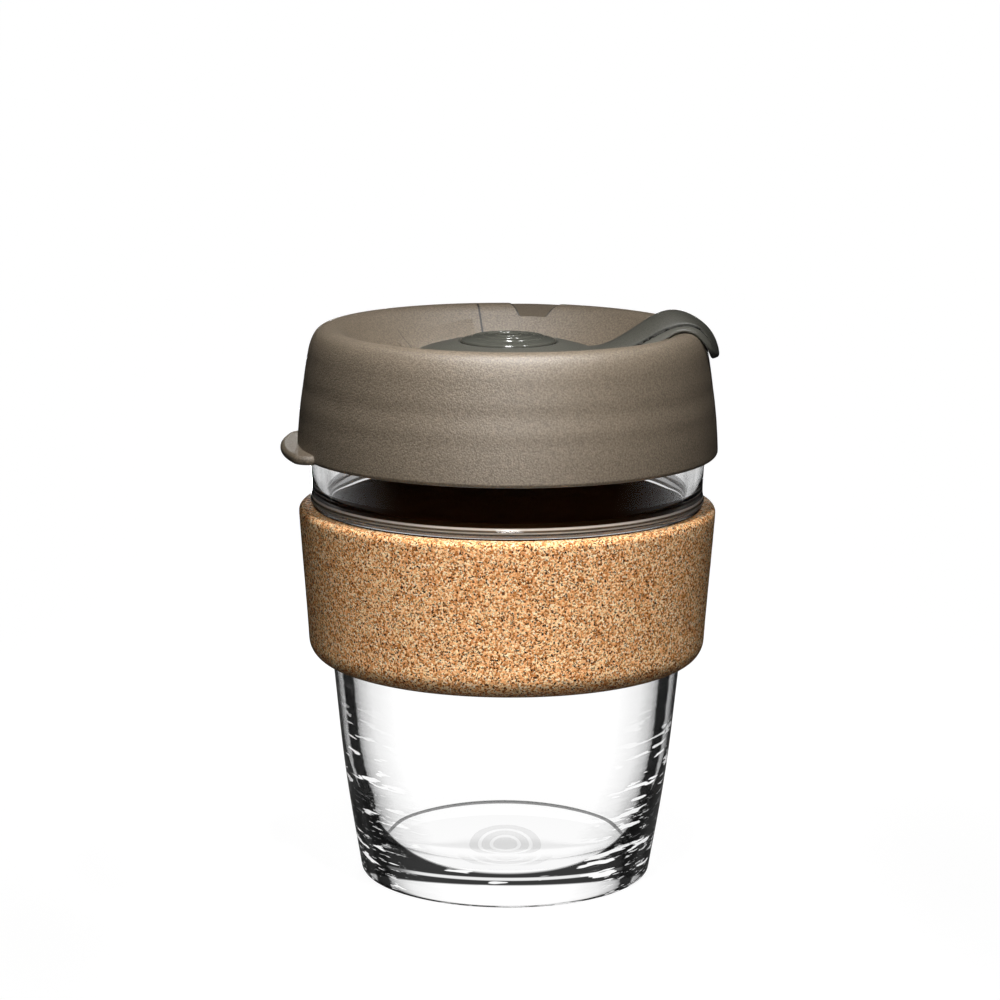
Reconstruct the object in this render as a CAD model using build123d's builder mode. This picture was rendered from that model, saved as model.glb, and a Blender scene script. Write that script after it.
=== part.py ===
from build123d import *
import os
from math import asin, cos, degrees, radians, sin

# Reusable glass cup: a tapered tumbler, a cork band under its shoulder, a press-on lid with a rolled rim,
# and a soft plug that turns on the lid and hooks over the rim.
# Millimetres. z = 0 is the surface the cup stands on, Z is the cup's axis, and +X points along the closed plug.

# ---------------------------------------------------------------- driving dimensions

# glass cup
foot_radius = 30.75
foot_round = 1.2
foot_ring_radius = 28.6
foot_hollow = 1.3
floor_crown = 8.8
floor_height = 7.7
floor_radius = 24.6
floor_round = 5.6
cup_height = 104.0
glass_wall = 2.7
mouth_radius = 41.35
taper_foot = 43.3
taper_foot_radius = 36.4
shoulder_height = 79.5
shoulder_radius = 40.25
shoulder_crest_radius = 41.3
groove_radius = 40.95
straight_neck_height = 89.5
inner_taper_radius = 33.8
inner_neck_height = 88.0

# cork band
band_bottom = 46.6
band_top = 79.3
band_foot_radius = 41.75
band_top_radius = 43.72
band_foot_round = 4.4
band_top_round = 1.3
band_fit = 0.05

# lid
lid_bottom = 90.4
lid_radius = 43.98
lid_wall = 1.6
skirt_edge_round = 0.8
waist_height = 104.4
waist_radius = 42.76
rim_height = 116.59
rim_radius = 37.44
rim_shoulder_width = 4.21
rim_shoulder_drop = 4.92
rim_shoulder_fullness = 0.82
rim_inner_round = 4.5
bowl_floor = 107.0
bowl_round = 8.0
boss_radius = 14.0
boss_height = 108.9
pivot_hole_radius = 4.2
rim_seat = cup_height + 0.35

# pry tab at the lid's lower edge
tab_radius = 47.5
tab_thickness = 2.0
tab_centre_angle = 184.7
tab_half_angle = 21.5
tab_corner_round = 3.5
tab_edge_round = 0.9

# the lid's inside: the ring that plugs the glass, the groove over the glass's rim, and the skirt
ring_inner_radius = 36.7
ring_outer_radius = 38.25
ring_bottom = 99.2
ring_edge_round = 0.7
slope_underside_top = 114.14
groove_radius_inside = 38.3
groove_radius_outside = 39.6

# parking notch in the rim, and the raised stop panel beside it
notch_angle = 80.7
stop_start_angle = 100.5
stop_end_angle = 138.0
stop_rise = 1.4

# sip hole
sip_radius = 30.2
sip_width = 6.6
sip_length = 15.1

# plug
disc_radius = 20.2
disc_underside = 109.25
disc_top = 114.6
dome_radius = 57.0
dome_edge_radius = 18.6
stem_radius = 4.1
stem_bottom = 103.0
barb_radius = 5.7
barb_height = 105.0
button_radius = 10.0
button_fit = 0.15
button_base = 112.7
button_top = 114.95
button_edge_drop = 0.35
ring_radii = (7.2, 4.9, 2.6)
ring_width = 0.7
ring_rise = 0.1
hinge_x = 17.45
hinge_gap = 0.3
arm_half_width = 9.3
arm_edge_round = 1.6
arm_tip_height = 109.9
arm_underside = 109.8
plug_gap = 0.35
stopper_bottom = 106.4


def dome_height(radius):
    """Height of the plug disc's domed top at a distance from the axis."""
    return disc_top - radius**2 / (2 * dome_radius)


def glass_taper(height):
    """Outer radius of the glass behind the cork band, where the wall is a straight cone."""
    rise = (height - taper_foot) / (shoulder_height - taper_foot)
    return taper_foot_radius + rise * (shoulder_radius - taper_foot_radius)


def sphere_through(edge_radius, rise):
    """Radius of the sphere whose cap has this edge radius and this rise."""
    return (edge_radius**2 + rise**2) / (2 * rise)


# ---------------------------------------------------------------- glass cup

with BuildPart() as glass_cup:
    with BuildSketch(Plane.XZ):
        with BuildLine():
            hollow_sphere = sphere_through(foot_ring_radius, foot_hollow)
            hollow_angle = degrees(asin(foot_ring_radius / hollow_sphere))
            hollow = CenterArc((0, foot_hollow - hollow_sphere), hollow_sphere, 90, -hollow_angle)
            Line(hollow @ 1, (foot_radius - foot_round, 0))
            heel = CenterArc((foot_radius - foot_round, foot_round), foot_round, -90, 90)
            lower_wall = Spline(
                heel @ 1,
                (33.3, 16.0),
                (taper_foot_radius, taper_foot),
                tangents=[(0.16, 1), (shoulder_radius - taper_foot_radius, shoulder_height - taper_foot)],
            )
            taper = Line(lower_wall @ 1, (shoulder_radius, shoulder_height))
            shoulder = ThreePointArc(
                taper @ 1,
                (shoulder_crest_radius, shoulder_height + 1.0),
                (groove_radius, shoulder_height + 2.3),
            )
            neck = Spline(
                shoulder @ 1,
                (groove_radius + 0.1, 85.5),
                (mouth_radius, straight_neck_height),
                tangents=[(0, 1), (0, 1)],
            )
            rim_outside = Line(neck @ 1, (mouth_radius, cup_height - glass_wall / 2))
            rim = ThreePointArc(
                rim_outside @ 1,
                (mouth_radius - glass_wall / 2, cup_height),
                (mouth_radius - glass_wall, cup_height - glass_wall / 2),
            )
            rim_inside = Line(rim @ 1, (mouth_radius - glass_wall, inner_neck_height))
            corner_height = floor_height + floor_round
            wall_inside = Spline(
                rim_inside @ 1,
                (37.9, 81.0),
                (inner_taper_radius, taper_foot),
                (floor_radius + floor_round, corner_height),
                tangents=[(0, -1), (0, -1)],
            )
            corner = CenterArc((floor_radius, corner_height), floor_round, -90, 90)
            crown_sphere = sphere_through(floor_radius, floor_crown - floor_height)
            crown_angle = degrees(asin(floor_radius / crown_sphere))
            CenterArc((0, floor_crown - crown_sphere), crown_sphere, 90, -crown_angle)
            Line((0, floor_crown), hollow @ 0)
        make_face()
    revolve(axis=Axis.Z)
glass_cup.part.label = "glass_cup"

# ---------------------------------------------------------------- cork band

with BuildPart() as cork_band:
    with BuildSketch(Plane.XZ):
        with BuildLine():
            underside = Polyline(
                (glass_taper(band_top) + band_fit, band_top),
                (glass_taper(band_bottom) + band_fit, band_bottom),
                (band_foot_radius - band_foot_round, band_bottom),
            )
            bottom_edge_centre = (band_foot_radius - band_foot_round, band_bottom + band_foot_round)
            bottom_edge = CenterArc(bottom_edge_centre, band_foot_round, -90, 90)
            top_edge_centre = (band_top_radius - band_top_round, band_top - band_top_round)
            top_edge = CenterArc(top_edge_centre, band_top_round, 0, 90)
            Line(bottom_edge @ 1, top_edge @ 0)
            Line(top_edge @ 1, underside @ 0)
        make_face()
    revolve(axis=Axis.Z)
cork_band.part.label = "cork_band"

# ---------------------------------------------------------------- lid


def lid_outer_outline(gap=0.0):
    """Draws the lid's outer side, pushed out by a gap: up the skirt, over the rolled rim and down to the bowl's floor."""
    diagonal = cos(radians(45))
    round_centre = rim_height - rim_inner_round
    crest_round = rim_inner_round + gap
    bend_round = bowl_round - gap
    wall_foot = bowl_floor + bowl_round - (round_centre + (rim_inner_round + bowl_round) / diagonal) + rim_radius
    shoulder_foot = rim_height - rim_shoulder_drop
    lower_skirt = ThreePointArc(
        (lid_radius + gap, lid_bottom + skirt_edge_round),
        (43.52 + gap, 98.4),
        (waist_radius + gap, waist_height),
    )
    upper_skirt = ThreePointArc(
        lower_skirt @ 1,
        (42.37 + gap, 107.3),
        (rim_radius + rim_shoulder_width + gap, shoulder_foot),
    )
    shoulder_lean = radians(25)
    shoulder_middle = (
        rim_radius + rim_shoulder_fullness * rim_shoulder_width + gap * cos(shoulder_lean),
        shoulder_foot + rim_shoulder_drop / 2 + gap * sin(shoulder_lean),
    )
    Spline(upper_skirt @ 1, shoulder_middle, (rim_radius, rim_height + gap), tangents=[upper_skirt % 1, (-1, 0)])
    crest = CenterArc((rim_radius, round_centre), crest_round, 90, 45)
    bend_centre = (wall_foot, bowl_floor + bowl_round)
    slope_foot = (wall_foot + bend_round * diagonal, bowl_floor + bowl_round - bend_round * diagonal)
    slope = Line(crest @ 1, slope_foot)
    bend = CenterArc(bend_centre, bend_round, -45, -45)
    return lower_skirt, bend


with BuildPart() as stop_panel:
    with BuildSketch(Plane.XZ):
        with BuildLine():
            Polyline((37.0, 115.8), (29.0, 110.3), (25.6, 107.15), (29.2, 108.8), (37.0, 115.2), close=True)
        make_face()
    revolve(axis=Axis.Z, revolution_arc=stop_end_angle - stop_start_angle)

with BuildPart() as notch_cutter:
    with BuildSketch(Plane.XY.offset(113.0)):
        Polygon((31.0, -1.2), (41.0, -8.7), (41.0, 8.7), (31.0, 1.2), align=None)
    extrude(amount=5.0)
    with BuildSketch(Plane.XZ):
        Polygon((31.0, 113.5), (41.0, 116.95), (41.0, 119.0), (31.0, 119.0), align=None)
    extrude(amount=10.0, both=True, mode=Mode.INTERSECT)

with BuildPart() as lid:
    with BuildSketch(Plane.XZ):
        with BuildLine():
            bowl_bend = lid_outer_outline()[1]
            underside = Polyline(
                bowl_bend @ 1,
                (boss_radius + 1.0, bowl_floor),
                (boss_radius, boss_height),
                (pivot_hole_radius, boss_height),
                (pivot_hole_radius, bowl_floor - lid_wall),
                (25.9, bowl_floor - lid_wall),
                (35.39, slope_underside_top),
            )
            rim_underside = ThreePointArc(underside @ 1, (36.0, 114.6), (ring_inner_radius, 114.9))
            ring_edge = ThreePointArc(
                (ring_inner_radius, ring_bottom + ring_edge_round),
                (ring_inner_radius + ring_edge_round, ring_bottom),
                (ring_inner_radius + 2 * ring_edge_round, ring_bottom + ring_edge_round),
            )
            Line(rim_underside @ 1, ring_edge @ 0)
            groove = Polyline(
                ring_edge @ 1,
                (ring_outer_radius, rim_seat),
                (groove_radius_outside, rim_seat),
                (groove_radius_outside, 106.0),
                (groove_radius_inside, 107.8),
                (groove_radius_inside, 113.9),
            )
            groove_top = ThreePointArc(groove @ 1, (39.5, 113.3), (40.05, 111.7))
            skirt_inside = Spline(groove_top @ 1, (41.05, 107.0), (41.65, 103.5), (42.0, 97.5), (42.45, 91.2))
            Polyline(skirt_inside @ 1, (42.8, lid_bottom), (lid_radius - skirt_edge_round, lid_bottom))
            skirt_edge_centre = (lid_radius - skirt_edge_round, lid_bottom + skirt_edge_round)
            CenterArc(skirt_edge_centre, skirt_edge_round, -90, 90)
        make_face()
    revolve(axis=Axis.Z)
    # The stop panel is turned about an axis beside the cup's own, so its step fades out along the bowl.
    fade_direction = radians(stop_end_angle + 90)
    fade_shift = stop_rise / sin(radians(stop_end_angle - stop_start_angle))
    with Locations((fade_shift * cos(fade_direction), fade_shift * sin(fade_direction), 0)):
        add(stop_panel.part, rotation=(0, 0, stop_start_angle))
    add(notch_cutter.part, rotation=(0, 0, notch_angle), mode=Mode.SUBTRACT)
    with BuildSketch(Plane.XY.offset(100.0)):
        with Locations((sip_radius, 0)):
            RectangleRounded(sip_width, sip_length, sip_width / 2 - 0.05)
    extrude(amount=16.0, mode=Mode.SUBTRACT)

with BuildPart() as pry_tab:
    with BuildSketch(Plane.XY.offset(lid_bottom)) as tab_outline:
        with BuildLine():
            tab_edge = CenterArc((0, 0), tab_radius, tab_centre_angle - tab_half_angle, 2 * tab_half_angle)
            tab_root = CenterArc((0, 0), lid_radius - 1.0, tab_centre_angle - tab_half_angle, 2 * tab_half_angle)
            Line(tab_edge @ 0, tab_root @ 0)
            Line(tab_edge @ 1, tab_root @ 1)
        make_face()
        fillet(tab_outline.vertices().sort_by_distance((0, 0, lid_bottom))[-2:], tab_corner_round)
    extrude(amount=tab_thickness)
    tab_faces = pry_tab.faces().filter_by(Axis.Z)
    outer_edges = tab_faces.edges().filter_by(lambda edge: (edge @ 0.5).X < -44.5)
    fillet(outer_edges, tab_edge_round)

with BuildPart() as lid_with_tab:
    add(lid.part)
    add(pry_tab.part)
lid_with_tab.part.label = "lid"

# ---------------------------------------------------------------- plug hub and button

with BuildPart() as plug_hub:
    with BuildSketch(Plane.XZ):
        pocket_radius = button_radius + button_fit
        pocket_floor = button_base - 0.1
        with BuildLine():
            stem = Polyline(
                (0, stem_bottom),
                (stem_radius + 0.5, stem_bottom),
                (barb_radius, barb_height - 0.6),
                (barb_radius, barb_height),
                (stem_radius, barb_height),
                (stem_radius, disc_underside),
                (disc_radius - 0.8, disc_underside),
            )
            disc_edge = ThreePointArc(
                stem @ 1,
                (disc_radius, disc_underside + 1.05),
                (dome_edge_radius, dome_height(dome_edge_radius)),
            )
            dome_middle = (pocket_radius + dome_edge_radius) / 2
            dome = ThreePointArc(
                disc_edge @ 1,
                (dome_middle, dome_height(dome_middle)),
                (pocket_radius, dome_height(pocket_radius)),
            )
            Polyline(dome @ 1, (pocket_radius, pocket_floor), (0, pocket_floor), (0, stem_bottom))
        make_face()
    revolve(axis=Axis.Z)
    # The disc ends in a straight face where the arm begins.
    with BuildSketch(Plane.XY.offset(disc_underside - 1.0)):
        with Locations((hinge_x - hinge_gap / 2, 0)):
            Rectangle(10.0, 40.0, align=(Align.MIN, Align.CENTER))
    extrude(amount=10.0, mode=Mode.SUBTRACT)
plug_hub.part.label = "plug_hub"

with BuildPart() as plug_button:
    with BuildSketch(Plane.XZ):
        with BuildLine():
            dome_angle = degrees(asin(0.95 * button_radius / dome_radius))
            button_dome = CenterArc((0, button_top - dome_radius), dome_radius, 90, -dome_angle)
            Polyline(
                button_dome @ 1,
                (button_radius, (button_dome @ 1).Y - button_edge_drop),
                (button_radius, button_base),
                (0, button_base),
                (0, button_top),
            )
        make_face()
    revolve(axis=Axis.Z)
    with BuildSketch(Plane.XY.offset(button_base + 0.5)):
        for ring_radius in ring_radii:
            Circle(ring_radius + ring_width / 2)
            Circle(ring_radius - ring_width / 2, mode=Mode.SUBTRACT)
    extrude(amount=button_top + ring_rise - button_base - 0.5)
plug_button.part.label = "plug_button"

# ---------------------------------------------------------------- plug arm and stopper

with BuildPart() as swept_lid:
    with BuildSketch(Plane.XZ):
        with BuildLine():
            skirt_curve, bend_curve = lid_outer_outline(plug_gap)
            Polyline(bend_curve @ 1, (0, bowl_floor + plug_gap), (0, (skirt_curve @ 0).Y), skirt_curve @ 0)
        make_face()
    revolve(axis=Axis.Z)

with BuildPart() as arm_pocket:
    with BuildSketch(Plane.XZ):
        with BuildLine():
            ceiling = Spline((20.6, 110.6), (24.0, 112.2), (30.0, 116.4), (32.6, 117.4))
            Polyline(ceiling @ 1, (33.9, 116.2), (33.9, 104.0), (20.6, 104.0), ceiling @ 0)
        make_face()
    extrude(amount=arm_half_width - 2.3, both=True)

with BuildPart() as plug_arm:
    arm_root = hinge_x + hinge_gap / 2
    with BuildSketch(Plane.XZ):
        with BuildLine():
            arm_top = Spline(
                (arm_root, dome_height(arm_root)),
                (23.4, 114.7),
                (30.2, 119.2),
                (33.9, 120.45),
                (38.0, 119.3),
                (42.8, 115.5),
                (44.2, 111.0),
                tangents=[(1, 0.15), (0.02, -1)],
            )
            tip = ThreePointArc(arm_top @ 1, (43.9, 110.15), (43.2, arm_tip_height))
            Polyline(
                tip @ 1,
                (41.5, arm_tip_height),
                (36.0, 113.5),
                (28.0, arm_underside),
                (arm_root, arm_underside),
                arm_top @ 0,
            )
        make_face()
    extrude(amount=arm_half_width, both=True)
    top_face = plug_arm.faces().sort_by(Axis.Z)[-1]
    fillet(top_face.edges().filter_by(lambda edge: abs(edge.center().Y) > 0.9 * arm_half_width), arm_edge_round)
    # Seen end on, the hook is a tongue with rounded lower corners.
    with BuildSketch(Plane.YZ) as tongue:
        with Locations((0, arm_tip_height)):
            Rectangle(2 * arm_half_width, 20.0, align=(Align.CENTER, Align.MIN))
        fillet(tongue.vertices().group_by(Axis.Z)[0], 5.0)
    extrude(amount=60.0, mode=Mode.INTERSECT)
    add(swept_lid.part, mode=Mode.SUBTRACT)
    add(arm_pocket.part, mode=Mode.SUBTRACT)
plug_arm.part.label = "plug_arm"

with BuildPart() as plug_stopper:
    with BuildSketch(Plane.XY.offset(stopper_bottom)):
        with Locations((sip_radius, 0)):
            RectangleRounded(sip_width - 2 * plug_gap, sip_length - 2 * plug_gap, sip_width / 2 - plug_gap - 0.05)
    extrude(amount=12.0)
    add(arm_pocket.part, mode=Mode.INTERSECT)
plug_stopper.part.label = "plug_stopper"

# ---------------------------------------------------------------- files, one for each piece

os.makedirs("parts", exist_ok=True)
export_step(glass_cup.part, "parts/glass_cup.step")
export_step(cork_band.part, "parts/cork_band.step")
export_step(lid_with_tab.part, "parts/lid.step")
export_step(plug_hub.part, "parts/plug_hub.step")
export_step(plug_button.part, "parts/plug_button.step")
export_step(plug_arm.part, "parts/plug_arm.step")
export_step(plug_stopper.part, "parts/plug_stopper.step")
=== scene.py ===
import functools
import math

import bmesh
import bpy
from mathutils import Matrix, Vector


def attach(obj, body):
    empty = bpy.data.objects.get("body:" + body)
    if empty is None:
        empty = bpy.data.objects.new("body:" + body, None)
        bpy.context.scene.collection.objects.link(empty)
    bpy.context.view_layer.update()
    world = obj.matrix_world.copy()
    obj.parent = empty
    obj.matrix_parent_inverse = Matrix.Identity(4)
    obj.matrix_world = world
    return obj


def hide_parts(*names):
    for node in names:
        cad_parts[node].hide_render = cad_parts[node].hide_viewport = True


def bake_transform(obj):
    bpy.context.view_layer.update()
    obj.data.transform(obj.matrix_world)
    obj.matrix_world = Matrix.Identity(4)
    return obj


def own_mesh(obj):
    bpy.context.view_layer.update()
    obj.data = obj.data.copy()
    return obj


# A reusable glass cup: tumbler, cork band, press-on lid and turning plug. Sizes are millimetres times MM.
MM = 0.001

# Degrees round the lid from the closed plug: where its stop panel starts and ends, and where its rim is notched.
STOP_START, STOP_END, NOTCH = 100.5, 138.0, 80.7

# How far the tumbler's wall leans out for each millimetre up.
TAPER = 0.107

# How much the smoothing modifiers divide each face.
SMOOTHING = {"levels": 2, "render_levels": 2}

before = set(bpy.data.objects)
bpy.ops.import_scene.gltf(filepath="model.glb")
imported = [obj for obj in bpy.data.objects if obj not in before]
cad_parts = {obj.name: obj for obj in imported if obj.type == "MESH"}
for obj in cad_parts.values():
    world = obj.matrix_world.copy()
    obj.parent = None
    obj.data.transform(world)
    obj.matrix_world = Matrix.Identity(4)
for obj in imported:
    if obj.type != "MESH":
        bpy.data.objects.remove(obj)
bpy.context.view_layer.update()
scene = bpy.context.scene


# ---------------------------------------------------------------- modelling helpers


def pick(piece):
    """Makes one piece the only selected and active object, in object mode."""
    if bpy.context.object and bpy.context.object.mode == "EDIT":
        bpy.ops.object.mode_set(mode="OBJECT")
    bpy.ops.object.select_all(action="DESELECT")
    piece.select_set(True)
    bpy.context.view_layer.objects.active = piece


def apply_modifier(piece, kind, **settings):
    pick(piece)
    modifier = piece.modifiers.new(kind.title(), kind)
    for name, value in settings.items():
        setattr(modifier, name, value)
    bpy.ops.object.modifier_apply(modifier=modifier.name)


def arc(centre, radius, start, end, points):
    """Points along an arc of an outline; angles in degrees, 0 outwards and 90 up."""
    turns = [math.radians(start + (end - start) * i / (points - 1)) for i in range(points)]
    return [(centre[0] + radius * math.cos(a), centre[1] + radius * math.sin(a)) for a in turns]


def turned(name, outline, steps=96):
    """Spins an outline of (radius, height) in millimetres round the cup's axis and smooths the turned skin."""
    bpy.ops.object.select_all(action="DESELECT")
    bpy.ops.mesh.primitive_plane_add(size=MM)
    piece = bpy.context.object
    piece.name = name
    bpy.ops.object.mode_set(mode="EDIT")
    bpy.ops.mesh.merge(type="CENTER")
    bpy.ops.transform.translate(value=(outline[0][0] * MM, 0, outline[0][1] * MM))
    on_axis = outline[0][0] == 0 and outline[-1][0] == 0
    path = outline if on_axis else outline + outline[:1]
    for here, there in zip(path, path[1:]):
        step = ((there[0] - here[0]) * MM, 0, (there[1] - here[1]) * MM)
        bpy.ops.mesh.extrude_region_move(TRANSFORM_OT_translate={"value": step})
    bpy.ops.mesh.select_all(action="SELECT")
    bpy.ops.mesh.remove_doubles(threshold=0.001 * MM)
    bpy.ops.mesh.spin(steps=steps, angle=2 * math.pi, center=(0, 0, 0), axis=(0, 0, 1))
    bpy.ops.mesh.select_all(action="SELECT")
    bpy.ops.mesh.remove_doubles(threshold=0.001 * MM)
    bpy.ops.mesh.normals_make_consistent(inside=False)
    bpy.ops.object.mode_set(mode="OBJECT")
    apply_modifier(piece, "SUBSURF", **SMOOTHING)
    bpy.ops.object.shade_smooth()
    return piece


def place_on(piece, body, slot, material, *nodes):
    """Gives a finished piece its material and its body, and hides the CAD nodes it stands for. slot is not used."""
    piece.data.materials.clear()
    piece.data.materials.append(material)
    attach(piece, body)
    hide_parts(*nodes)


# ---------------------------------------------------------------- material helpers


def linear(hex_colour):
    """An sRGB hex colour as linear red, green, blue and alpha."""
    levels = [int(hex_colour[i : i + 2], 16) / 255 for i in (1, 3, 5)]
    return [c / 12.92 if c <= 0.04045 else ((c + 0.055) / 1.055) ** 2.4 for c in levels] + [1.0]


# What a node's mode is called, for the kinds that have one.
MODES = {"Math": "operation", "VectorMath": "operation", "MapRange": "interpolation_type", "MixRGB": "blend_type"}


def add_node(tree, kind, *inputs, stops=()):
    """Adds a node and returns it.

    kind is its type, with its mode after a space. inputs fill its sockets in order, or by name when they come as one
    dict. Each is a value, a socket, or a node, which stands for its first output. stops are the places on a colour
    ramp, each with a hex colour or a grey level.
    """
    kind, _, mode = kind.partition(" ")
    node = tree.nodes.new("ShaderNode" + kind)
    if mode:
        setattr(node, MODES[kind], mode)
    for _ in stops[2:]:
        node.color_ramp.elements.new(0.5)
    for i, (where, colour) in enumerate(stops):
        element = node.color_ramp.elements[i]
        element.position = where
        element.color = linear(colour) if isinstance(colour, str) else (colour, colour, colour, 1.0)
    by_name = len(inputs) == 1 and isinstance(inputs[0], dict)
    for socket, value in inputs[0].items() if by_name else enumerate(inputs):
        if isinstance(value, bpy.types.Node):
            value = value.outputs[0]
        if isinstance(value, bpy.types.NodeSocket):
            tree.links.new(value, node.inputs[socket])
        else:
            node.inputs[socket].default_value = value
    return node


def new_material(name):
    """A material with an empty tree, what adds nodes to it, and the place on the object that patterns read."""
    material = bpy.data.materials.new(name)
    material.use_nodes = True
    material.node_tree.nodes.clear()
    node = functools.partial(add_node, material.node_tree)
    return material, node, node("TexCoord").outputs["Object"]


def round_axis(node, place):
    """The place as x, y and z, its distance from the cup's axis, and that distance less the wall's lean so far up."""
    spot = node("SeparateXYZ", place).outputs
    squares = [node("Math POWER", spot[axis], 2.0) for axis in "XY"]
    reach = node("Math SQRT", node("Math ADD", *squares))
    past_taper = node("Math SUBTRACT", reach, node("Math MULTIPLY", spot["Z"], TAPER))
    return spot, reach, past_taper


def plan_axes(node, place, turn):
    """Distances along and across a direction seen from above, turned so many degrees from +X."""
    cosine, sine = math.cos(math.radians(turn)), math.sin(math.radians(turn))
    axes = ((cosine, sine, 0.0), (-sine, cosine, 0.0))
    return [node("VectorMath DOT_PRODUCT", place, axis).outputs["Value"] for axis in axes]


def radial_line(node, place, turn, width, rise, fall):
    """1 on a line this many millimetres wide that runs out from the axis between two soft ends, 0 off it."""
    along, across = plan_axes(node, place, turn)
    line = node("MapRange SMOOTHSTEP", node("Math ABSOLUTE", across), 0.5 * width * MM, width * MM, 1.0, 0.0)
    starts = node("MapRange SMOOTHSTEP", along, rise[0] * MM, rise[1] * MM, 0.0, 1.0)
    ends = node("MapRange SMOOTHSTEP", along, fall[0] * MM, fall[1] * MM, 1.0, 0.0)
    return node("Math MULTIPLY", line, node("Math MULTIPLY", starts, ends))


# ---------------------------------------------------------------- materials


def polypropylene():
    # Soft matt lid from a spark-eroded mould, whose grain breaks the light into pale speckle. The grain is drawn a
    # third of a millimetre wide, coarser than the real one, so that it shows.
    material, node, place = new_material("polypropylene_spark_eroded_mould")
    height = node("SeparateXYZ", place).outputs["Z"]
    grain = node(
        "TexNoise", {"Vector": place, "Scale": 1 / (0.36 * MM), "Detail": 3.0, "Roughness": 0.6}
    ).outputs["Fac"]
    colour = node("ValToRGB", grain, stops=((0.35, "#5C5143"), (0.65, "#827564")))

    # Faint level rings round the skirt, where the wall sank as it cooled.
    ring_step, ring_middle = 6.8 * MM, 102.6 * MM
    wave = node("Math MULTIPLY_ADD", height, -2 * math.pi / ring_step, 2 * math.pi * ring_middle / ring_step)
    from_middle = node("Math ABSOLUTE", node("Math SUBTRACT", height, ring_middle))
    depth = node("MapRange SMOOTHSTEP", from_middle, 1.5 * MM, 8 * MM, 0.5, 0.0)
    relief = node("Math ADD", grain, node("Math MULTIPLY", node("Math SINE", wave), depth))
    bump = node("Bump", {"Height": relief, "Strength": 1.0, "Distance": 0.12 * MM})

    # Painted shade: fine dark lines where the stop panel's two ends and the notch's sides lie in shadow, and a
    # painted shadow, mottled by the grain, on the notch's rough floor.
    panel_start = radial_line(node, place, STOP_START, 0.28, (20, 22), (36, 37.5))
    panel_end = node("Math MULTIPLY", radial_line(node, place, STOP_END, 0.2, (25, 27), (31, 33)), 0.5)
    along, across = plan_axes(node, place, NOTCH)
    half_width = node("Math MULTIPLY_ADD", along, 0.75, (1.2 - 0.75 * 31) * MM)
    past_side = node("Math SUBTRACT", node("Math ABSOLUTE", across), half_width)
    at_rim = node(
        "Math MULTIPLY",
        node("MapRange SMOOTHSTEP", along, 33.0 * MM, 33.4 * MM, 0.0, 1.0),
        node("MapRange SMOOTHSTEP", height, 113.8 * MM, 114.2 * MM, 0.0, 1.0),
    )
    side = node("MapRange SMOOTHSTEP", node("Math ABSOLUTE", past_side), 0.15 * MM, 0.4 * MM, 1.0, 0.0)
    bed = node(
        "Math MULTIPLY",
        node("MapRange SMOOTHSTEP", past_side, -0.1 * MM, 0.0, 1.0, 0.0),
        node("MapRange SMOOTHSTEP", grain, 0.45, 0.6, 0.1, 0.45),
    )
    notch = node("Math MULTIPLY", node("Math MAXIMUM", side, bed), at_rim)
    painted_shade = node("Math MAXIMUM", node("Math MAXIMUM", panel_start, panel_end), notch)
    colour = node("MixRGB", painted_shade, colour, linear("#0C0906"))
    shader = node(
        "BsdfPrincipled", {"Base Color": colour, "Roughness": 0.5, "Specular IOR Level": 0.8, "Normal": bump}
    )
    node("OutputMaterial", shader)
    return material


def cork():
    # Granulated cork pressed into a band: crumbs of several browns, dark pits between them, dull all over.
    material, node, place = new_material("cork_agglomerate_moulded")
    spot, _, past_taper = round_axis(node, place)
    wobble = node("TexNoise", {"Vector": place, "Scale": 1 / (0.5 * MM), "Detail": 2.0}).outputs["Color"]
    shifted = node("MixRGB ADD", 0.3 * MM, place, wobble)
    cells = node("TexVoronoi", {"Vector": shifted, "Scale": 1 / (0.37 * MM)}).outputs
    browns = ((0.0, "#642E0C"), (0.22, "#C07434"), (0.48, "#F6B678"), (0.72, "#FFDEAA"), (1.0, "#FFF2D6"))
    crumbs = node("ValToRGB", cells["Color"], stops=browns)
    pits = node(
        "TexNoise", {"Vector": place, "Scale": 1 / (0.42 * MM), "Detail": 3.0, "Roughness": 0.7}
    ).outputs["Fac"]
    filled = node("MapRange SMOOTHSTEP", pits, 0.42, 0.445, 0.0, 1.0)
    outer = node("MixRGB", filled, linear("#120600"), crumbs)

    # Painted shade: the lower edge, which faces away from the lamps above, is darkened.
    lower_edge_shade = node("MapRange SMOOTHSTEP", spot["Z"], 46.6 * MM, 52 * MM, 0.7, 0.0)
    outer = node("MixRGB", lower_edge_shade, outer, linear("#3A1C08"))

    # Painted shade: the bore, which lies in shadow behind the glass, is a plain dark brown with no gloss, which looks
    # almost black through the glass.
    outside = node("MapRange SMOOTHSTEP", past_taper, 32.1 * MM, 32.5 * MM, 0.0, 1.0)
    colour = node("MixRGB", outside, linear("#3C2110"), outer)
    gloss = node("Math MULTIPLY", outside, 0.25)
    relief = node("Math ADD", filled, node("Math MULTIPLY", cells["Distance"], -0.8))
    bump = node("Bump", {"Height": relief, "Strength": 0.8, "Distance": 0.35 * MM})
    shader = node(
        "BsdfPrincipled",
        {
            "Base Color": colour,
            "Roughness": 0.8,
            "Diffuse Roughness": 0.5,
            "Specular IOR Level": gloss,
            "Normal": bump,
        },
    )
    node("OutputMaterial", shader)
    return material


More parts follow.
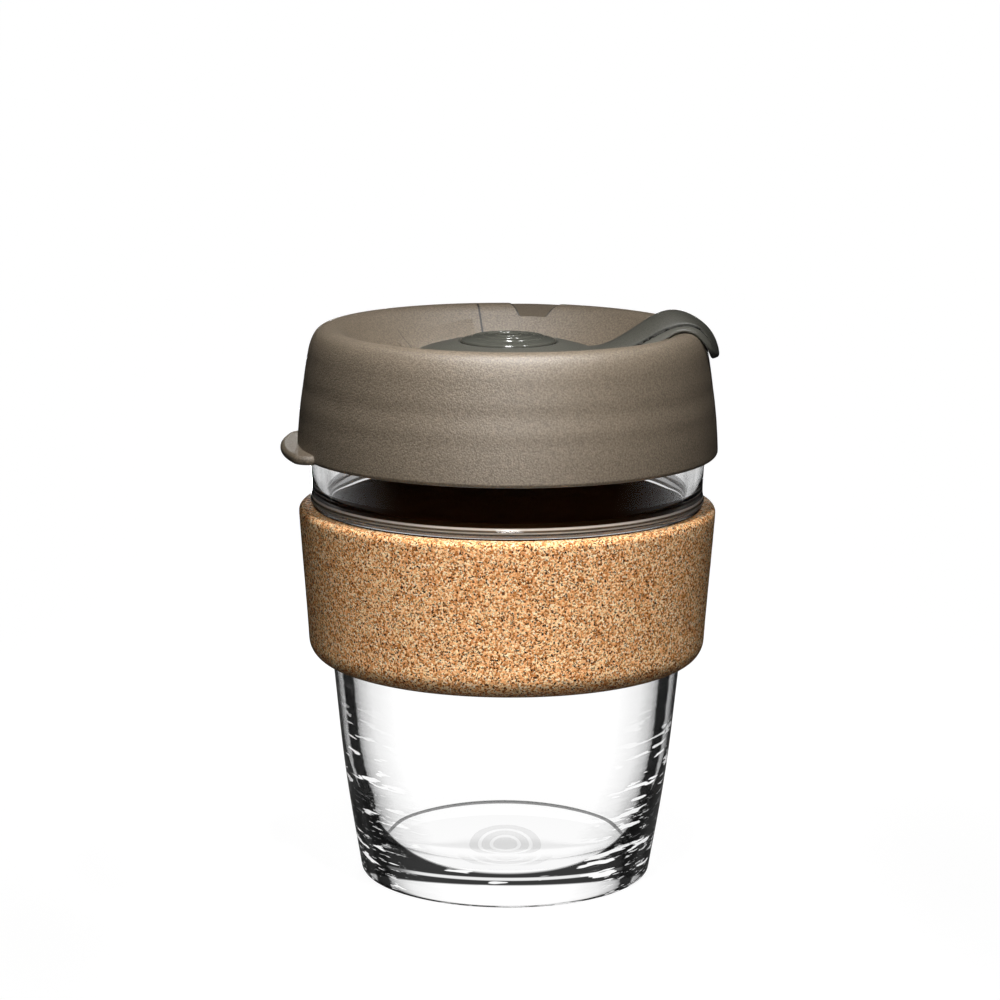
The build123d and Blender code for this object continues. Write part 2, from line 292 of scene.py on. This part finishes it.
def soda_lime_glass():
    # Pressed glass in a bright studio with dark cards: clear in the middle, near black where the wall turns edge on,
    # with ripples low down. The darkening is painted shade in the glass's tint.
    material, node, place = new_material("soda_lime_glass_pressed")
    spot, reach, past_taper = round_axis(node, place)
    height = spot["Z"]
    facing = node("LayerWeight", {"Blend": 0.5}).outputs["Facing"]
    leaving = node("NewGeometry").outputs["Backfacing"]
    flattened = node("VectorMath MULTIPLY", place, (1.0, 1.0, 8.0))
    ripple = node("TexNoise", {"Vector": flattened, "Scale": 1 / (10 * MM), "Detail": 2.0}).outputs["Fac"]
    streak = node(
        "TexNoise", {"Vector": flattened, "Scale": 1 / (4.5 * MM), "Detail": 3.0, "Roughness": 0.6}
    ).outputs["Fac"]

    # All painted shade but the floor's line is on the outer skin: outside a cone that runs half way through the wall.
    outer = node("MapRange SMOOTHSTEP", past_taper, 30.0 * MM, 30.3 * MM, 0.0, 1.0)

    # Painted shade: how much the wall lets through as it turns edge on. The ripples shift it, most of all low down.
    low_down = node("MapRange SMOOTHSTEP", height, 12 * MM, 34 * MM, 0.1, 0.0)
    swing = node("MapRange SMOOTHSTEP", height, 10 * MM, 40 * MM, 0.12, 0.03)
    sway = node("Math MULTIPLY", node("Math SUBTRACT", ripple, 0.5), swing)
    edge_on = node("Math ADD", node("Math ADD", facing, low_down), sway)
    wall_levels = (
        (0.30, 1.0), (0.42, 0.85), (0.52, 0.55), (0.565, 0.3), (0.58, 0.02),
        (0.70, 0.01), (0.73, 0.45), (0.79, 0.33), (0.83, 0.05), (0.88, 0.03),
    )
    wall = node("ValToRGB", edge_on, stops=wall_levels)

    # Painted shade: the thick base is painted black, from a double line at the front to a broad streaked wedge at
    # each side, with a painted highlight line (the glint) across it.
    wedge_foot = node("Math MULTIPLY_ADD", facing, -5.6 * MM, 5.7 * MM)
    wedge_top = node("Math MULTIPLY_ADD", node("Math POWER", facing, 2.0), 32 * MM, 8.0 * MM)
    over_foot = node("MapRange SMOOTHSTEP", node("Math SUBTRACT", height, wedge_foot), 0.0, 0.4 * MM, 0.0, 1.0)
    under_top = node("MapRange SMOOTHSTEP", node("Math SUBTRACT", wedge_top, height), 0.0, 0.7 * MM, 0.0, 1.0)
    glint_height = node("Math MULTIPLY_ADD", facing, -3 * MM, 7.0 * MM)
    off_glint = node("Math ABSOLUTE", node("Math SUBTRACT", height, glint_height))
    glint = node(
        "Math MULTIPLY",
        node("MapRange SMOOTHSTEP", off_glint, 0.2 * MM, 0.45 * MM, 0.85, 0.0),
        node("MapRange SMOOTHSTEP", facing, 0.28, 0.4, 1.0, 0.3),
    )
    wedge = node(
        "Math MULTIPLY", node("Math MULTIPLY", over_foot, under_top), node("Math SUBTRACT", 1.0, glint)
    )

    # Painted shade: the rounded foot gets a dark line that swells towards the sides.
    foot_line = node(
        "Math MULTIPLY",
        node("MapRange SMOOTHSTEP", height, 0.9 * MM, 1.4 * MM, 1.0, 0.0),
        node("MapRange SMOOTHSTEP", facing, 0.3, 0.5, 0.0, 1.0),
    )
    base = node("Math MULTIPLY", node("Math MAXIMUM", wedge, foot_line), 0.96)
    clear = node("Math MULTIPLY", wall, node("Math SUBTRACT", 1.0, base))

    # Painted highlights: white streaks in the wedge and flecks in the wall that lift the painted shade where a ripple
    # would throw the light forward.
    in_base = node(
        "Math MULTIPLY",
        node("MapRange SMOOTHSTEP", height, 15 * MM, 22 * MM, 1.0, 0.0),
        node("MapRange SMOOTHSTEP", facing, 0.25, 0.45, 0.0, 1.0),
    )
    streaks = node("Math MULTIPLY", node("MapRange SMOOTHSTEP", streak, 0.58, 0.63, 0.0, 0.6), in_base)
    flecks = node(
        "Math MULTIPLY",
        node("MapRange SMOOTHSTEP", ripple, 0.59, 0.62, 0.0, 1.0),
        node("MapRange SMOOTHSTEP", height, 26 * MM, 45 * MM, 1.0, 0.0),
    )
    painted_highlights = node("Math MAXIMUM", streaks, flecks)

    # Above the bead, where the wall is thinner, the painted shade is much weaker.
    thin = node("MapRange SMOOTHSTEP", height, 79 * MM, 81 * MM, 1.0, 0.35)
    depth = node("Math MULTIPLY", node("Math SUBTRACT", 1.0, clear), thin)
    entering = node("Math MULTIPLY", outer, node("Math SUBTRACT", 1.0, leaving))
    shade = node("Math MULTIPLY", node("Math MULTIPLY", depth, entering), node("Math SUBTRACT", 1.0, painted_highlights))

    # Etched oval in the middle of the floor, with two clear rings in it.
    oval = node("VectorMath MULTIPLY_ADD", place, (1 / (7.6 * MM), 1 / (13.5 * MM), 0.0), (0.0, 0.7, 0.0))
    oval_reach = node("VectorMath LENGTH", oval).outputs["Value"]
    etched = node("MapRange SMOOTHSTEP", oval_reach, 0.97, 1.0, 1.0, 0.0)
    for ring in (0.38, 0.7):
        off_ring = node("Math ABSOLUTE", node("Math SUBTRACT", oval_reach, ring))
        etched = node("Math MULTIPLY", etched, node("MapRange SMOOTHSTEP", off_ring, 0.04, 0.06, 0.0, 1.0))
    floor_top = node(
        "Math MULTIPLY",
        node("MapRange SMOOTHSTEP", height, 8.0 * MM, 8.2 * MM, 0.0, 1.0),
        node("MapRange SMOOTHSTEP", height, 9.5 * MM, 10.0 * MM, 1.0, 0.0),
    )
    frost = node("Math MULTIPLY", node("Math MULTIPLY", etched, floor_top), 0.16)

    # Painted shade: a thin dark line where the floor turns up into the wall, heaviest at the back.
    off_turn = node("Math ABSOLUTE", node("Math SUBTRACT", reach, 25.0 * MM))
    line_width = node("Math MAXIMUM", node("Math MULTIPLY_ADD", spot["Y"], 0.028, 0.3 * MM), 0.25 * MM)
    off_line = node("Math SUBTRACT", off_turn, line_width)
    inner_low = node(
        "Math MULTIPLY",
        node("Math SUBTRACT", 1.0, outer),
        node("MapRange SMOOTHSTEP", height, 6 * MM, 7 * MM, 0.0, 1.0),
    )
    at_back = node("Math MULTIPLY", inner_low, node("MapRange SMOOTHSTEP", spot["Y"], -6 * MM, 6 * MM, 0.0, 1.0))
    floor_line = node(
        "Math MULTIPLY",
        node(
            "Math MULTIPLY",
            node("MapRange SMOOTHSTEP", off_line, -0.1 * MM, 0.1 * MM, 0.85, 0.0),
            at_back,
        ),
        node("MapRange SMOOTHSTEP", height, 11 * MM, 12 * MM, 1.0, 0.0),
    )
    tint = node("Math MULTIPLY", node("Math SUBTRACT", 1.0, shade), node("Math SUBTRACT", 1.0, frost))
    tint = node("Math MULTIPLY", tint, node("Math SUBTRACT", 1.0, floor_line))
    bent = node(
        "BsdfRefraction", {"Color": node("CombineColor", tint, tint, tint), "Roughness": 0.0, "IOR": 1.5}
    )
    mirror = node("BsdfAnisotropic", {"Color": linear("#FFFFFF"), "Roughness": 0.0})

    # The faint mirror of glass met square on is left to the bead, so that the dark cork behind the wall stays dark.
    bead = node(
        "Math MULTIPLY",
        node("MapRange SMOOTHSTEP", height, 79.6 * MM, 79.8 * MM, 0.0, 1.0),
        node("MapRange SMOOTHSTEP", height, 82.7 * MM, 82.9 * MM, 1.0, 0.0),
    )
    faint = node(
        "Math MULTIPLY", node("Math MAXIMUM", leaving, node("Math SUBTRACT", 1.0, bead)), 0.045
    )
    over_faint = node("Math SUBTRACT", node("Fresnel", {"IOR": 1.5}), faint)
    bounce = node("Math MAXIMUM", node("Math DIVIDE", over_faint, node("Math SUBTRACT", 1.0, faint)), 0.0)

    # Light leaves the thick base straight, so that it isn't trapped there and the base stays bright.
    outer_base = node("Math MULTIPLY", outer, node("MapRange SMOOTHSTEP", height, 17 * MM, 22 * MM, 1.0, 0.0))
    base_zone = node("Math MAXIMUM", outer_base, node("MapRange SMOOTHSTEP", height, 10 * MM, 12 * MM, 1.0, 0.0))
    loose = node("Math MULTIPLY", leaving, base_zone)
    through = node("MixShader", loose, bent, node("BsdfTransparent"))
    bounce = node("Math MULTIPLY", bounce, node("Math SUBTRACT", 1.0, loose))
    clear_glass = node("MixShader", bounce, through, mirror)

    # The bead where the mould halves met gets a matt skin painted with thin pale and brown lines round the cup:
    # painted highlights and painted shade.
    up_bead = node("Math DIVIDE", node("Math SUBTRACT", height, 79.6 * MM), 3.2 * MM)
    bead_lines = (
        (0.0, "#1E1A16"), (0.12, "#D8CEC0"), (0.20, "#332D26"), (0.32, "#564E44"), (0.38, "#C4BAAD"),
        (0.46, "#4C443A"), (0.54, "#7A6248"), (0.60, "#F4ECE4"), (0.68, "#E4D8CC"), (0.72, "#2A1808"),
        (0.95, "#1C1006"),
    )
    painted_bead = node("BsdfDiffuse", {"Color": node("ValToRGB", up_bead, stops=bead_lines)})
    share = node("Math MULTIPLY", node("Math MULTIPLY", bead, outer), 0.65)
    node("OutputMaterial", node("MixShader", share, clear_glass, painted_bead))
    return material


def thermoplastic_rubber():
    # Soft strap from a fine-grained mould: dull grey-green black with a faint satin sheen. The grain is drawn as
    # coarse as the lid's, so that it shows.
    material, node, place = new_material("thermoplastic_rubber_moulded")
    spot = node("SeparateXYZ", place).outputs
    grain = node(
        "TexNoise", {"Vector": place, "Scale": 1 / (0.32 * MM), "Detail": 3.0, "Roughness": 0.6}
    ).outputs["Fac"]
    bump = node("Bump", {"Height": grain, "Strength": 0.8, "Distance": 0.08 * MM})
    colour = node("ValToRGB", grain, stops=((0.35, "#3E3D37"), (0.65, "#504F48")))

    # Painted highlight on the strap's flanges, and painted shade in the dark crease that runs down each side of it,
    # just under its ridge, where the gloss is also less.
    sideways = node("Math ABSOLUTE", spot["Y"])
    on_strap = node(
        "Math MULTIPLY",
        node("MapRange SMOOTHSTEP", spot["X"], 20 * MM, 24 * MM, 0.0, 0.9),
        node("MapRange SMOOTHSTEP", spot["X"], 41.5 * MM, 42.5 * MM, 1.0, 0.0),
    )
    flange_highlight = node(
        "Math MULTIPLY", node("MapRange SMOOTHSTEP", sideways, 7.0 * MM, 7.4 * MM, 0.0, 0.4), on_strap
    )
    off_crease = node("Math ABSOLUTE", node("Math SUBTRACT", sideways, 6.7 * MM))
    crease_shade = node(
        "Math MULTIPLY", node("MapRange SMOOTHSTEP", off_crease, 0.08 * MM, 0.26 * MM, 1.0, 0.0), on_strap
    )
    colour = node("MixRGB", flange_highlight, colour, linear("#6E6C64"))
    colour = node("MixRGB", crease_shade, colour, linear("#0C0C0A"))
    gloss = node("Math SUBTRACT", 0.5, node("Math MULTIPLY", crease_shade, 0.5))
    shader = node(
        "BsdfPrincipled", {"Base Color": colour, "Roughness": 0.45, "Specular IOR Level": gloss, "Normal": bump}
    )
    node("OutputMaterial", shader)
    return material


def polished_abs():
    # Hard cap from a polished mould: the same grey, but shiny.
    material, node, _ = new_material("abs_polished_mould")
    node("OutputMaterial", node("BsdfPrincipled", {"Base Color": linear("#45453F"), "Roughness": 0.12}))
    return material


glass_finish = soda_lime_glass()
cork_finish = cork()
lid_finish = polypropylene()
rubber_finish = thermoplastic_rubber()
button_finish = polished_abs()

# ---------------------------------------------------------------- glass tumbler

tumbler = turned(
    "tumbler",
    [(0, 1.3), (7, 1.22), (14, 0.98), (20, 0.63), (25, 0.29), (27.8, 0.06), (28.6, 0), (29.2, 0)]
    + arc((29.55, 1.2), 1.2, -80, -10, 5)
    + [(31.3, 4.5), (32.1, 9.0), (33.25, 16.0), (34.5, 24.5), (35.6, 35.0), (36.4, 43.3), (38.3, 61.0)]
    + [(39.9, 76.0), (40.2, 79.2), (40.6, 79.9), (41.25, 80.1), (41.35, 80.9), (41.0, 81.7), (40.95, 83.0)]
    + [(41.05, 85.5), (41.25, 88.0), (41.35, 91.0), (41.35, 96.0), (41.35, 101.0)]
    + arc((40.0, 102.65), 1.35, 0, 180, 7)
    + [(38.65, 101.0), (38.65, 95.0), (38.6, 88.0), (37.85, 81.0), (36.0, 62.0), (33.8, 43.3), (32.4, 30.0)]
    + [(31.3, 20.0), (30.75, 16.0)]
    + arc((24.6, 13.6), 5.9, 0, -80, 8)
    + [(24.2, 7.75), (21, 8.0), (14, 8.45), (7, 8.7), (0, 8.8)],
)
place_on(tumbler, "cup", "cup_glass", glass_finish, "glass_cup")

# ---------------------------------------------------------------- cork band

band = turned(
    "band",
    [(40.28, 79.28), (40.1, 77.5), (38.5, 62.0), (37.0, 48.5), (36.9, 46.9), (37.2, 46.6), (38.0, 46.6)]
    + arc((37.35, 51.0), 4.4, -78, 0, 7)
    + [(41.9, 54.0), (42.6, 63.0), (43.3, 72.0), (43.62, 76.5)]
    + arc((42.42, 78.0), 1.3, 0, 90, 6)
    + [(41.6, 79.3), (40.6, 79.3)],
    steps=128,
)
place_on(band, "cup", "band_cork", cork_finish, "cork_band")

# ---------------------------------------------------------------- lid: the frame's own shape, with its finish

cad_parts["lid"].data.materials.clear()
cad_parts["lid"].data.materials.append(lid_finish)

# ---------------------------------------------------------------- plug

disc = turned(
    "plug",
    [(0, 103.0), (3.8, 103.0), (4.6, 103.05), (5.6, 104.3), (5.75, 105.0), (4.2, 105.05), (4.1, 106.0)]
    + [(4.1, 108.6), (4.3, 109.2), (8, 109.25), (18.5, 109.25), (19.6, 109.3), (20.1, 109.8), (20.2, 110.3)]
    + [(19.9, 110.9), (19.0, 111.4), (18.0, 111.76), (15.0, 112.63), (12.5, 113.23), (10.7, 113.6)]
    + [(10.3, 113.55), (10.2, 113.2), (10.15, 112.65), (9.0, 112.6), (0, 112.6)],
    steps=64,
)

# The strap is a loft of cross-sections that all differ, which the edit-mode tools can't shape, so its skin is laid
# out here. Each section: top of the crown (x, z), ridge (x, y, z), flange edge (x, y, z), underside (radius, z).
sections = [
    ((13.0, 111.9), (13.0, 6.5, 111.6), (13.0, 8.8, 110.3), (13.0, 109.7)),
    ((17.45, 111.96), (17.45, 6.5, 111.62), (17.3, 9.2, 110.9), (17.45, 109.6)),
    ((20.5, 113.1), (20.6, 6.5, 112.05), (20.5, 9.3, 110.8), (20.5, 109.6)),
    ((23.4, 114.8), (23.6, 6.5, 112.7), (23.6, 9.3, 111.1), (23.6, 109.7)),
    ((26.8, 117.15), (27.0, 6.5, 114.35), (27.0, 9.3, 112.1), (27.0, 109.8)),
    ((30.1, 119.35), (30.0, 6.5, 116.25), (30.4, 9.3, 114.1), (29.6, 111.2)),
    ((32.0, 120.2), (32.3, 6.5, 117.35), (33.0, 9.3, 116.1), (31.8, 113.3)),
    ((33.9, 120.5), (34.4, 6.5, 118.1), (35.0, 9.4, 117.1), (34.0, 115.5)),
    ((35.9, 120.2), (36.4, 6.5, 118.4), (36.4, 9.5, 117.25), (35.9, 116.8)),
    ((37.9, 119.35), (38.2, 6.5, 118.3), (37.7, 9.5, 117.0), (37.9, 116.98)),
    ((40.0, 118.2), (39.8, 6.5, 117.5), (38.9, 9.5, 116.3), (39.5, 116.4)),
    ((41.7, 116.9), (41.0, 6.4, 116.2), (39.9, 9.3, 115.2), (40.8, 115.2)),
    ((43.0, 115.2), (42.0, 6.1, 114.8), (41.0, 8.9, 113.9), (41.5, 113.9)),
    ((43.8, 113.25), (42.9, 5.4, 113.1), (42.0, 8.0, 112.7), (41.95, 112.8)),
    ((44.15, 111.6), (43.5, 4.2, 111.7), (42.9, 6.2, 111.5), (42.15, 111.6)),
    ((44.1, 110.5), (43.8, 2.5, 110.6), (43.5, 3.8, 110.7), (42.5, 110.6)),
]
GROOVE_START, GROOVE_END = 20, 44.2
strap_mesh = bpy.data.meshes.new("strap")
strap_skin = bmesh.new()
rings = []
for (crown_x, crown_z), ridge, edge, (under_radius, under_z) in sections:
    ridge_x, ridge_y, ridge_z = ridge
    edge_x, edge_y, edge_z = edge
    drop = crown_z - ridge_z
    # The groove under the ridge deepens just past the disc's edge and fades out at the end of the hook.
    groove = max(0, min(1, (crown_x - GROOVE_START) / 5, (GROOVE_END - crown_x) / 2))
    half = [
        (crown_x, 0.0, crown_z),
        ((crown_x + ridge_x) / 2, ridge_y * 0.5, crown_z - 0.2 * drop),
        (ridge_x, ridge_y * 0.86, ridge_z + 0.3 * drop),
        ridge,
        (ridge_x, ridge_y + 0.1, ridge_z - 0.1),
        (ridge_x, ridge_y + 0.1 - 0.25 * groove, ridge_z - 0.2 - 1.0 * groove),
        (ridge_x, ridge_y + 0.2 - 0.05 * groove, ridge_z - 0.25 - 1.0 * groove),
        (ridge_x, ridge_y + 0.25 + 0.3 * groove, ridge_z - 0.3 - 0.25 * groove),
        ((ridge_x + edge_x) / 2, (ridge_y + edge_y) / 2 + 0.2, 0.5 * (ridge_z + edge_z) + 0.25 * groove),
        (edge_x, edge_y - 0.25, edge_z + 0.25),
        edge,
    ]
    for across in (0.96, 0.55, 0.0):
        y = edge_y * across
        half.append((math.sqrt(under_radius**2 - y**2), y, min(under_z, edge_z - 0.45)))
    ring = half + [(x, -y, z) for x, y, z in half[-2:0:-1]]
    rings.append([strap_skin.verts.new(Vector(point) * MM) for point in ring])
for here, there in zip(rings, rings[1:]):
    for i in range(len(here)):
        strap_skin.faces.new((here[i - 1], here[i], there[i], there[i - 1]))
strap_skin.faces.new(rings[0])
strap_skin.faces.new(rings[-1])
strap_skin.to_mesh(strap_mesh)
strap_skin.free()
strap = bpy.data.objects.new("strap", strap_mesh)
scene.collection.objects.link(strap)
pick(strap)
bpy.ops.object.mode_set(mode="EDIT")
bpy.ops.mesh.select_all(action="SELECT")
bpy.ops.mesh.normals_make_consistent(inside=False)
bpy.ops.object.mode_set(mode="OBJECT")
apply_modifier(strap, "SUBSURF", **SMOOTHING)

# Disc and strap are one moulding: joined, remeshed as one skin, and smoothed so that they flow into each other.
apply_modifier(disc, "BOOLEAN", operation="UNION", object=strap, solver="EXACT")
bpy.data.objects.remove(strap)
apply_modifier(disc, "REMESH", mode="VOXEL", voxel_size=0.24 * MM)
apply_modifier(disc, "SMOOTH", factor=0.5, iterations=2)
pick(disc)
bpy.ops.object.shade_smooth()
disc.data.materials.clear()
disc.data.materials.append(rubber_finish)
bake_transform(disc)
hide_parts("plug_hub", "plug_arm")

# Button: a plain domed cap with three raised rings.
dome = [(0, 112.75), (9.5, 112.75), (10.0, 112.8), (10.0, 113.6), (9.95, 113.85), (9.6, 114.08), (9.0, 114.22)]
raised = ((0.5, 0), (0.36, 0.02), (0.28, 0.22), (-0.28, 0.24), (-0.36, 0.04), (-0.5, 0.02))
for radius in (7.2, 4.9, 2.6):
    top = 114.95 - radius**2 / 114
    dome += [(radius + outwards, top + up) for outwards, up in raised]
button = turned("button", dome + [(1.0, 114.93), (0, 114.94)], steps=64)
place_on(button, "plug", "button_plastic", button_finish, "plug_button")

# Stopper: a rounded peg under the strap that fills the sip hole.
stopper_x = 30.2 * MM
bpy.ops.object.select_all(action="DESELECT")
bpy.ops.mesh.primitive_cube_add(size=MM)
stopper = bpy.context.object
stopper.name = "stopper"
bpy.ops.object.mode_set(mode="EDIT")
bpy.ops.transform.resize(value=(5.9, 14.0, 7.6))
bpy.ops.transform.translate(value=(stopper_x, 0, 110.2 * MM))
bpy.ops.object.mode_set(mode="OBJECT")
apply_modifier(stopper, "BEVEL", width=2.4 * MM, segments=6, limit_method="ANGLE", affect="EDGES")
pick(stopper)
bpy.ops.object.shade_smooth()
place_on(stopper, "arm", "plug_rubber", rubber_finish, "plug_stopper")
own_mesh(stopper)

# ---------------------------------------------------------------- floor and studio

# How bright floor and sky look in gloss, how much the sky fills the shade, and how dark its card is through glass.
GLOSS, FILL, CARD = 0.008, 0.01, 0.004

# The floor's own grey, which takes the shadow, and how bright it looks beside the cup.
FLOOR_GREY, FLOOR_NEAR = 0.12, 0.94


def paint_floor():
    # Pale seamless floor: white to the eye and through glass, a little greyer round the cup.
    material, node, place = new_material("pale_floor")
    ray = node("LightPath").outputs
    reach = node("VectorMath LENGTH", place).outputs["Value"]
    near = node("MapRange SMOOTHSTEP", reach, 0.03, 0.17, FLOOR_NEAR, 1.0)
    seen = node("Math MULTIPLY", ray["Is Camera Ray"], near)
    shine = node("Math MULTIPLY", ray["Is Glossy Ray"], GLOSS)
    strength = node("Math ADD", node("Math ADD", ray["Is Transmission Ray"], seen), shine)
    level = node("Math MULTIPLY", node("Math SUBTRACT", 1.0, ray["Is Transmission Ray"]), FLOOR_GREY)
    matt = node("BsdfDiffuse", {"Color": node("CombineColor", level, level, level)})
    node("OutputMaterial", node("AddShader", node("Emission", {"Strength": strength}), matt))
    return material


def paint_sky():
    # The sky is white to the eye. Through glass it is white near the horizon and overhead, and black between.
    world = bpy.data.worlds.new("studio")
    world.use_nodes = True
    world.node_tree.nodes.clear()
    node = functools.partial(add_node, world.node_tree)
    ray = node("LightPath").outputs
    up = node("SeparateXYZ", node("TexCoord").outputs["Generated"]).outputs["Z"]
    horizon = node("MapRange SMOOTHSTEP", up, 0.30, 0.33, 1.0, CARD)
    overhead = node("MapRange SMOOTHSTEP", up, 0.355, 0.385, 0.0, 1.0)
    through = node("Math MULTIPLY", ray["Is Transmission Ray"], node("Math MAXIMUM", horizon, overhead))
    shine = node("Math MULTIPLY", ray["Is Glossy Ray"], GLOSS)
    fill = node("Math MULTIPLY", ray["Is Diffuse Ray"], FILL)
    seen = node("Math ADD", fill, ray["Is Camera Ray"])
    level = node("Math ADD", node("Math ADD", through, shine), seen)
    node("OutputWorld", node("Background", {"Strength": level}))
    return world


bpy.ops.object.select_all(action="DESELECT")
bpy.ops.mesh.primitive_plane_add(size=40, location=(0, 0, -0.0002))
floor = bpy.context.object
floor.name = "floor"
floor.data.materials.append(paint_floor())
scene.world = paint_sky()


def soft_box(name, place, aim, width, height, power, spread):
    lamp = bpy.data.lights.new(name, "AREA")
    lamp.shape = "RECTANGLE"
    lamp.size, lamp.size_y, lamp.energy, lamp.spread = width, height, power, spread
    box = bpy.data.objects.new(name, lamp)
    scene.collection.objects.link(box)
    box.location = place
    box.rotation_euler = (Vector(aim) - Vector(place)).to_track_quat("-Z", "Y").to_euler()
    box.visible_camera = False
    box.visible_transmission = False


# Narrow spreads make the lamps fall off quickly to the sides of the cup.
soft_box("front_strip", (0.007, -0.33, 0.22), (0, 0, 0.09), 0.09, 0.34, 0.06, 0.345)
soft_box("top_box", (0.018, -0.19, 0.46), (0.006, -0.075, 0.1), 0.08, 0.2, 0.108, 0.28)
soft_box("bowl_light", (0.15, -0.02, 0.48), (-0.012, 0, 0.112), 0.06, 0.06, 0.004, 0.16)
soft_box("back_strip", (-0.007, 0.33, 0.055), (0, 0, 0.06), 0.14, 0.1, 0.3, 1.2)

# The camera stands 0.7 m in front of the cup, a little above it, and looks slightly down.
CAMERA_PLACE, TILT_DOWN, ROLL, FOCAL_LENGTH = (-0.00152, -0.7, 0.2137), 0.189, 0.0056, 122.076
lens = bpy.data.cameras.new("camera")
lens.lens = FOCAL_LENGTH
lens.clip_start, lens.clip_end = 0.01, 50
camera = bpy.data.objects.new("camera", lens)
scene.collection.objects.link(camera)
camera.matrix_world = (
    Matrix.Translation(CAMERA_PLACE)
    @ Matrix.Rotation(math.pi / 2 - TILT_DOWN, 4, "X")
    @ Matrix.Rotation(ROLL, 4, "Z")
)
scene.camera = camera
scene.view_settings.view_transform = "Standard"
